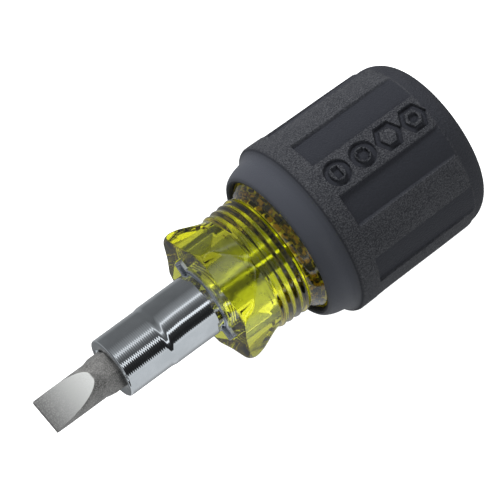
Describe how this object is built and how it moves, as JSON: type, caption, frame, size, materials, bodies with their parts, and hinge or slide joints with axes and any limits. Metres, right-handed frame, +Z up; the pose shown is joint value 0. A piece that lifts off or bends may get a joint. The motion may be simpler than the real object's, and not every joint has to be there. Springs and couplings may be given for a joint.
{
  "type": "screwdriver",
  "caption": "Stubby multi-bit screwdriver: a reversible socket tube with double-ended bits slides in a lobed clear handle with a ribbed rubber grip.",
  "frame": {"origin": "centre of the front bit's flat blade tip, on the tool's axis", "axes": "+X along the tool's axis from the blade tip to the end of the handle, +Z up with the tool lying down"},
  "size_m": [0.08, 0.0318, 0.0318],
  "materials": {
    "clear_core": "clear moulded plastic, yellow-green, polished",
    "rubber_grip": "moulded rubber, fine sand texture on the ribs, matt",
    "steel_liner": "bright rolled steel",
    "chrome_tube": "plated, turned at the front end",
    "bit_steel": "hardened steel, blasted shank, ground flats",
    "ball_steel": "polished bearing ball",
    "spring_steel": "drawn spring wire"
  },
  "bodies": {
    "handle": {"handle_core": "clear_core", "grip": "rubber_grip", "socket_liner": "steel_liner"},
    "tube": {"shaft": "chrome_tube"},
    "bit_front": {"front_bit": "bit_steel", "front_bit_spring": "spring_steel"},
    "bit_rear": {"rear_bit": "bit_steel", "rear_bit_spring": "spring_steel"},
    "ball_front": {"front_bit_ball": "ball_steel"},
    "ball_rear": {"rear_bit_ball": "ball_steel"}
  },
  "joints": [
    {"name": "shaft_slide", "type": "slide", "parent": "handle", "child": "tube", "axis": [-1, 0, 0], "range_m": [0, 0.065]},
    {"name": "front_bit_slide", "type": "slide", "parent": "tube", "child": "bit_front", "axis": [-1, 0, 0], "range_m": [0, 0.022]},
    {"name": "rear_bit_slide", "type": "slide", "parent": "tube", "child": "bit_rear", "axis": [1, 0, 0], "range_m": [0, 0.024]},
    {"name": "front_ball_slide", "type": "slide", "parent": "bit_front", "child": "ball_front", "axis": [0, 0.0654, 0.9979], "range_m": [0, 0.0003], "deforming": ["front_bit_spring"]},
    {"name": "rear_ball_slide", "type": "slide", "parent": "bit_rear", "child": "ball_rear", "axis": [0, 0.0654, 0.9979], "range_m": [0, 0.0003], "deforming": ["rear_bit_spring"]}
  ],
  "couplings": [
    {"joint": "rear_bit_slide", "follows": "shaft_slide", "ratio": 0.36},
    {"joint": "front_ball_slide", "follows": "front_bit_slide", "ratio": 0.0125},
    {"joint": "rear_ball_slide", "follows": "shaft_slide", "ratio": 0.0042}
  ]
}
